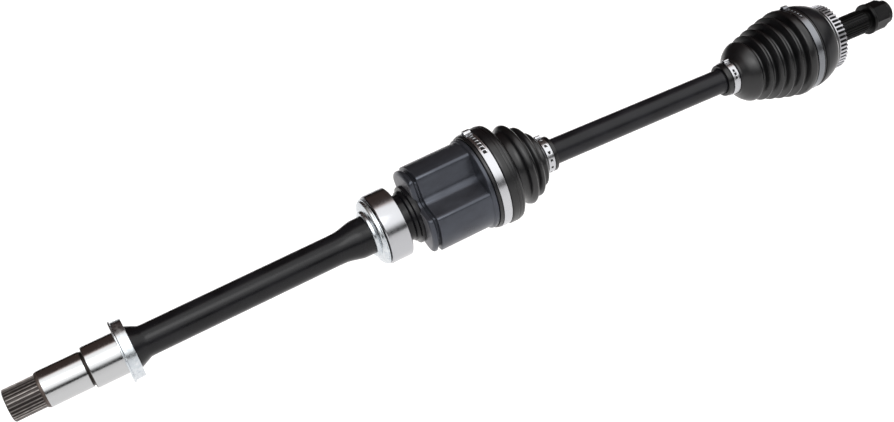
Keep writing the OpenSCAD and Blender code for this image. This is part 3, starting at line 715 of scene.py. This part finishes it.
# %% [markdown]
# The inner boot grips the tulip's mouth under its band, runs on as a wide plain cylinder with two fine
# moulded lines, and drops into a deep valley. The halves meet on the way down, where the bar has room
# to swing. Two tall folds and a low one lead down to the small end
# on the bar. The wide end lies on the shaft's line and the small end on the bar's, so the rings between
# are leaned over step by step.

# %% The inner boot in two halves
wide_end = eased([
    (96.2, 44.6), (96.2, 46.6), (98.6, 47.4), (99.1, 46.7), (108.4, 46.7), (108.9, 48.2), (110.3, 48.7),
    (115.2, 48.9), (115.6, 48.4), (116.1, 48.9), (118.4, 48.8), (118.8, 48.2), (119.3, 48.5),
    (121.6, 48, 1.6), (123.2, 45.5, 1.6), (124.3, 40.4), (125.6, 37.4)], 0.5)
folds = flowing([
    (125.6, 37.4), (127.2, 35.8), (129.6, 35.2), (132.2, 35.4), (134.4, 36.6), (136.2, 38.8), (138.4, 40.4),
    (140.8, 40.6), (142.8, 38.8), (144.2, 35.2), (145.4, 32.6), (146.6, 32.2), (148, 33.6), (149.8, 35.2),
    (151.8, 35), (153.6, 32.6), (155, 28.8), (156.4, 26.8), (157.8, 26.8), (159.6, 27.4), (161.4, 26),
    (163.2, 22.6), (165, 19.6), (166.4, 18.4)], 4)
small_end = folds + eased([
    (166.5, 18.2), (166.7, 16.35), (174.4, 16.35), (174.6, 17.5), (178, 17.3), (178.2, 15.4)], 0.3)[1:]
boot_in_a = turned("inner_boot_wide_half", skin(wide_end, 2.3), steps=128, smooth=50)
boot_in_b = turned("inner_boot_fold_half", skin(small_end, 2.2), steps=128, smooth=50)
for half_boot in (boot_in_a, boot_in_b):
    swept(half_boot, 68, 104)
    wear(half_boot, inner_rubber)
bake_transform(boot_in_a)
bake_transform(boot_in_b)
settle(boot_in_a, None, "boot_rubber", "inner_boot")
settle(boot_in_b, None, "boot_rubber")

# %% [markdown]
# The outer boot starts with a collar under the small band, swells into a smooth dome, and then widens
# through five valleys to the bell. Each fold has a rounded crest with a steeper side towards the bar.
# The joint under it bends by up to 44 degrees, and the boot's two halves meet in a valley.

# %% The outer boot in two halves
CRESTS = [(-70.6, 31.6), (-60, 34.6), (-49.4, 37.8), (-38.8, 40.7), (-28.2, 43.3), (-17.4, 45.6)]
collar = eased([
    (-99.6, 13.5), (-99.6, 15.6), (-98.8, 16.4), (-95, 16.8), (-94.5, 16.4), (-86.6, 16.4), (-86, 18.6),
    (-84.6, 19.4)], 0.3)
line = [(-84.6, 19.4), (-82.4, 22.6), (-79.6, 26.4), (-76, 29.4), (-73.2, 31)]
for (x, r), (_, r_next) in zip(CRESTS, CRESTS[1:]):
    floor_r = (r + r_next) / 2 - 6.4
    line += [(x - 0.6, r), (x + 1.2, r - 0.3), (x + 2.8, r - 2.4), (x + 4.2, floor_r + 0.5),
             (x + 5.4, floor_r), (x + 6.8, floor_r + 0.9), (x + 8.2, r_next - 3.4), (x + 9.4, r_next - 0.7)]
cut = min(range(len(line)), key=lambda k: abs(line[k][0] + 44))
tail = eased([(-17, 45.6), (-14, 45.7), (-11.4, 45.2, 1), (-9.9, 43.1), (-1.6, 43.1), (-1.2, 43.7),
              (0.2, 43.6), (0.2, 41)], 0.3)
half_a = collar + flowing(line[:cut + 1], 4)[1:]
half_b = flowing(line[cut:] + [(-17, 45.6)], 4) + tail[1:]
boot_out_a = turned("outer_boot_dome_half", skin(half_a, 2.2), HUB, 128, 50)
boot_out_b = turned("outer_boot_bell_half", skin(half_b, 2.2), HUB, 128, 50)
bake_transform(boot_out_a)
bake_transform(boot_out_b)
for half_boot, nodes in ((boot_out_a, ["outer_boot"]), (boot_out_b, [])):
    wear(half_boot, outer_rubber)
    settle(half_boot, None, "boot_rubber", *nodes)

# %% [markdown]
# ## The bar
# The bar is a solid forged rod, painted black. It thins to a neck under each boot, has a slightly
# raised seat for each small end, and carries a short spline at both ends that is hidden in the joints.

# %% The bar and its two hidden splines
bar = turned("bar_turned", eased([
    (12, 0), (12, 11), (98, 11, 2), (101, 13, 0.8), (118, 13, 0.8), (119.4, 12.7), (REACH / 2, 12.5),
    (REACH - 103, 12.4), (REACH - 101, 13, 0.8), (REACH - 84, 13, 0.8), (REACH - 81, 11, 2),
    (REACH - 12, 11), (REACH - 12, 0)], 0.4), BAR, 96)
wear(bar, bar_paint)
settle(bar, "bar", "bar_black", "bar_shaft")
for name, first, last in (("bar_inner_spline", -16, 12.5), ("bar_outer_spline", REACH - 12.5, REACH + 15)):
    teeth = ringed(name, tooth_angles(30), [
        (first, 0), (first, tooth_outline(30, 10.8, 11.5)), (first + 0.7, tooth_outline(30, 11.1, 12.2)),
        (last - 0.7, tooth_outline(30, 11.1, 12.2)), (last, tooth_outline(30, 10.8, 11.5)), (last, 0)],
        BAR, 24)
    wear(teeth, hub_ground)
    settle(teeth, "bar", "bar_black")

# %% [markdown]
# ## The ball joint's bell, stub and nut
# The bell is a forged cup. Its outside slopes back from the boot's seat to a turned shoulder, and its
# back carries the toothed ring. Inside is a round room for the cage and balls, with a groove for each
# ball. A groove is cut along an arc about the joint's centre, so its depth at a station is worked out
# from that arc.

# %% The bell
BALL_CIRCLE, GROOVE_R, ROOM_R = 27, 9.04, 30.8


def groove_depth(x):
    """The inside outline of the bell at one station: the round room with six grooves in it."""
    room = math.sqrt(max(ROOM_R ** 2 - x ** 2, 0))

    def radius(angle):
        off = (angle + math.pi / 6) % (math.pi / 3) - math.pi / 6
        best = room
        for step in range(1, 80):
            r = room + step * 0.1
            along = math.hypot(x, r * math.cos(off)) - BALL_CIRCLE
            if along ** 2 + (r * math.sin(off)) ** 2 <= GROOVE_R ** 2:
                best = r
        return best
    return radius


outside = eased([
    (-13, 40.2), (0.4, 40.2, 0.2), (1, 43.6), (1.6, 44), (4, 44), (8.5, 43, 1.5), (13, 41.6, 2), (17, 40, 2),
    (20.4, 38.2, 1), (21, 37.2), (21.8, 37.2), (22.2, 36.6), (25.2, 35.4), (25.3, 31), (36, 31), (37, 30.2),
    (37, 17.4), (37.6, 15.4, 1), (39.8, 12.9), (41.4, 11.2), (86, 11.2)], 0.3)
inside_rows = [(27, 0), (27, 8)] + [(x, groove_depth(x)) for x in (26, 23, 19, 14.5, 10, 5, 0, -4, -8, -11)]
bell = ringed("ball_joint_bell", even(144), inside_rows + [
    (-11.4, 35.2), (-13.8, 35.4), (-14, 35.8), (-14, 39.4), (-13.6, 39.9)] + outside + [(86, 0)], HUB, 38)
wear(bell, bell_paint, ground_steel, stub_oxide)
for face in bell.data.polygons:
    spot = HUB.inverted() @ face.center / MM
    if 20.7 < spot.x < 21.9 and math.hypot(spot.y, spot.z) > 36:
        face.material_index = 1
    elif spot.x > 37.2:
        face.material_index = 2
settle(bell, "hub", "bell_black", "cv_outer_race")

# %% [markdown]
# The stub's spline slides into the wheel hub. Past it the stub narrows to the thread, drawn here as
# one ring for each turn: a real thread climbs by its pitch, which can't be told apart at this size.
# A shallow drilled centre marks the end, as the lathe left it.

# %% The stub's spline and thread
stub_full = tooth_outline(28, 11.8, 13)
stub = ringed("stub_spline", tooth_angles(28), [
    (40.4, 0), (40.4, 11.6), (40.6, tooth_outline(28, 11.7, 12.4)), (41.6, stub_full), (83, stub_full),
    (84, tooth_outline(28, 11.6, 12.1)), (84, 0)], HUB, 24)
wear(stub, stub_oxide)
settle(stub, "hub", "bell_black")
THREAD_PITCH = 1.5
thread_line = [(83, 0), (83, 10.4), (85.4, 10.4), (86, 10.1)]
for turn_number in range(int((116.2 - 86.4) / THREAD_PITCH)):
    x = 86.4 + turn_number * THREAD_PITCH
    thread_line += [(x, 10.15), (x + 0.6, 10.95), (x + 0.9, 10.95), (x + 1.45, 10.15)]
thread_line += [(116.6, 10.5), (117.5, 9.6), (117.5, 3.2), (115.5, 2.4), (114.5, 0)]
thread = turned("stub_thread", thread_line, HUB, 72, 30)
wear(thread, stub_oxide)
settle(thread, "hub", "bell_black")

# %% [markdown]
# The toothed ring is pressed on to the back of the bell. A wheel-speed sensor counts its teeth. It has
# a plain rim towards the bell, square teeth, and wide gaps between them, so it reads as a bright comb.

# %% The tone ring
TEETH = 48
gap_floor = tooth_outline(TEETH, 32.7, 34.6, 0.42, 0.36)
comb = ringed("tone_ring_teeth", tooth_angles(TEETH, 12), [
    (26, 31.05), (25.7, 31.4), (25.7, 33.9), (25.9, 34.3), (27, 34.4), (27.2, gap_floor), (36, gap_floor),
    (36.3, tooth_outline(TEETH, 32.6, 34.2, 0.42, 0.36)), (36.3, 31.3), (36, 31.05), (26, 31.05)], HUB, 24)
wear(comb, tone_steel, window_dark)
for face in comb.data.polygons:
    spot = HUB.inverted() @ face.center / MM
    if 27.3 < spot.x < 35.9 and math.hypot(spot.y, spot.z) < 33.6:
        face.material_index = 1
settle(comb, "hub", "tone_steel", "abs_tone_ring")

# %% [markdown]
# The nut has a round flange, a chamfered hexagon and a thin collar that is staked into the stub's slot.
# The hexagon is an outline too: its flats are 27 mm apart and its corners are cut by a cone at both
# ends.

# %% The hub nut
FLAT = 13.5


def hexagon(limit):
    def radius(angle):
        off = (angle + math.pi / 6) % (math.pi / 3) - math.pi / 6
        return min(FLAT / math.cos(off), limit)
    return radius


nut = ringed("hub_nut_flanged", even(96), [
    (89.5, 11.05), (89.5, 15.9), (89.8, 16.3), (92.6, 16.3), (93.2, 15.9), (94.4, hexagon(15)),
    (94.9, hexagon(15.6)), (109.4, hexagon(15.6)), (110.6, hexagon(14.6)), (111.5, hexagon(13.6)),
    (111.6, 12.9), (112.6, 12.6), (115.6, 12.6), (116, 12.2), (116, 11.5), (112, 11.05), (89.5, 11.05)],
    HUB, 24)
wear(nut, nut_phosphate)
settle(nut, "hub", "nut_black", "hub_nut")

# %% [markdown]
# ## The pieces inside
# The rollers, spider, needles, balls, cage and rings are hidden by the boots, but they are real pieces
# and they move. Their CAD shapes are exact, so they stay and each gets its own finish.

# %% Finishes for the inner pieces
FINISH = {
    "bearing_seals": seal_rubber, "bearing_cage": cage_brass, "bearing_balls": ball_steel,
    "bearing_inner_race": race_steel, "bearing_retaining_ring": spring_steel, "tripod_spider": hub_ground,
    "spider_circlip": spring_steel, "trunnion_needles": ball_steel, "roller_retaining_rings": spring_steel,
    "roller_1": ground_steel, "roller_2": ground_steel, "roller_3": ground_steel,
    "cv_inner_race": hub_ground, "inner_race_circlip": spring_steel, "ball_cage": hub_ground,
    "cv_balls": ball_steel,
}
for node, material in FINISH.items():
    solid = frame["nodes"][node]
    for slot_number in range(max(len(solid.material_slots), 1)):
        if len(solid.material_slots) == 0:
            solid.data.materials.append(material)
        solid.material_slots[slot_number].material = material
print("CAD pieces finished:", len(FINISH))

# %% [markdown]
# ## The studio
# A long way below the axle lies a plain pale floor, so no shadow shows. The light is soft and comes
# from above and from the camera's side. The far side of the room is dark and a little warm, and that
# draws the dark band along the top of each polished journal. The Standard view keeps white paper white
# and black paint black, where the film-like default would lift the blacks to grey.

# %% The floor and the view
bpy.ops.object.select_all(action="DESELECT")
bpy.ops.mesh.primitive_plane_add(size=40, location=(0.1, 0, -1.1))
floor = bpy.context.object
floor.name = "studio_floor"
paper, tree, shader, coords = start("pale_studio_floor", Roughness=0.9)
shader.inputs["Base Color"].default_value = srgb("#f4f4f4")
shader.inputs["Emission Color"].default_value = srgb("#ffffff")
shader.inputs["Emission Strength"].default_value = 0.27
wear(floor, paper)
bpy.context.scene.view_settings.view_transform = "Standard"

# %% Soft light all round, dark at the back
world = bpy.data.worlds.new("soft_room")
bpy.context.scene.world = world
world.use_nodes = True
tree = world.node_tree
tree.nodes.clear()
direction = add(tree, "SeparateXYZ", {"Vector": add(tree, "TexCoord").outputs["Generated"]})
front = add(tree, "MapRange", {"Value": direction.outputs["Y"]}, {1: -0.02, 2: 0.22, 3: 1, 4: 0.035},
            interpolation_type="SMOOTHSTEP").outputs["Result"]
above = add(tree, "MapRange", {"Value": direction.outputs["Z"]}, {1: 0.12, 2: 0.48, 3: 0, 4: 1},
            interpolation_type="SMOOTHSTEP").outputs["Result"]
both = add(tree, "Math", {0: front, 1: above}, operation="MULTIPLY").outputs[0]
strength = add(tree, "Math", {0: both}, {1: 1.9}, operation="MULTIPLY").outputs[0]
tint = add(tree, "Mix", {"Factor": front}, {6: srgb("#ffd6c8"), 7: srgb("#ffffff")}, data_type="RGBA")
room = add(tree, "Background", {"Strength": strength, "Color": tint.outputs[2]})
# The camera sees plain white paper past the floor's edge, and the axle still sees the dark far side.
plain = add(tree, "Background", {}, {"Color": srgb("#ffffff"), "Strength": 1})
seen = add(tree, "LightPath").outputs["Is Camera Ray"]
sky = add(tree, "MixShader", {0: seen, 1: room.outputs["Background"], 2: plain.outputs["Background"]})
add(tree, "OutputWorld", {"Surface": sky.outputs["Shader"]})


def softbox(name, spot, size, power):
    light = bpy.data.lights.new(name, "AREA")
    light.shape, light.size, light.size_y, light.energy = "RECTANGLE", size[0], size[1], power
    lamp = bpy.data.objects.new(name, light)
    bpy.context.collection.objects.link(lamp)
    lamp.location = spot
    lamp.rotation_euler = (Vector((0.1, 0, 0)) - Vector(spot)).to_track_quat("-Z", "Y").to_euler()


softbox("key", (-0.5, -1.2, 1.6), (1.6, 0.8), 12)
print("studio ready")
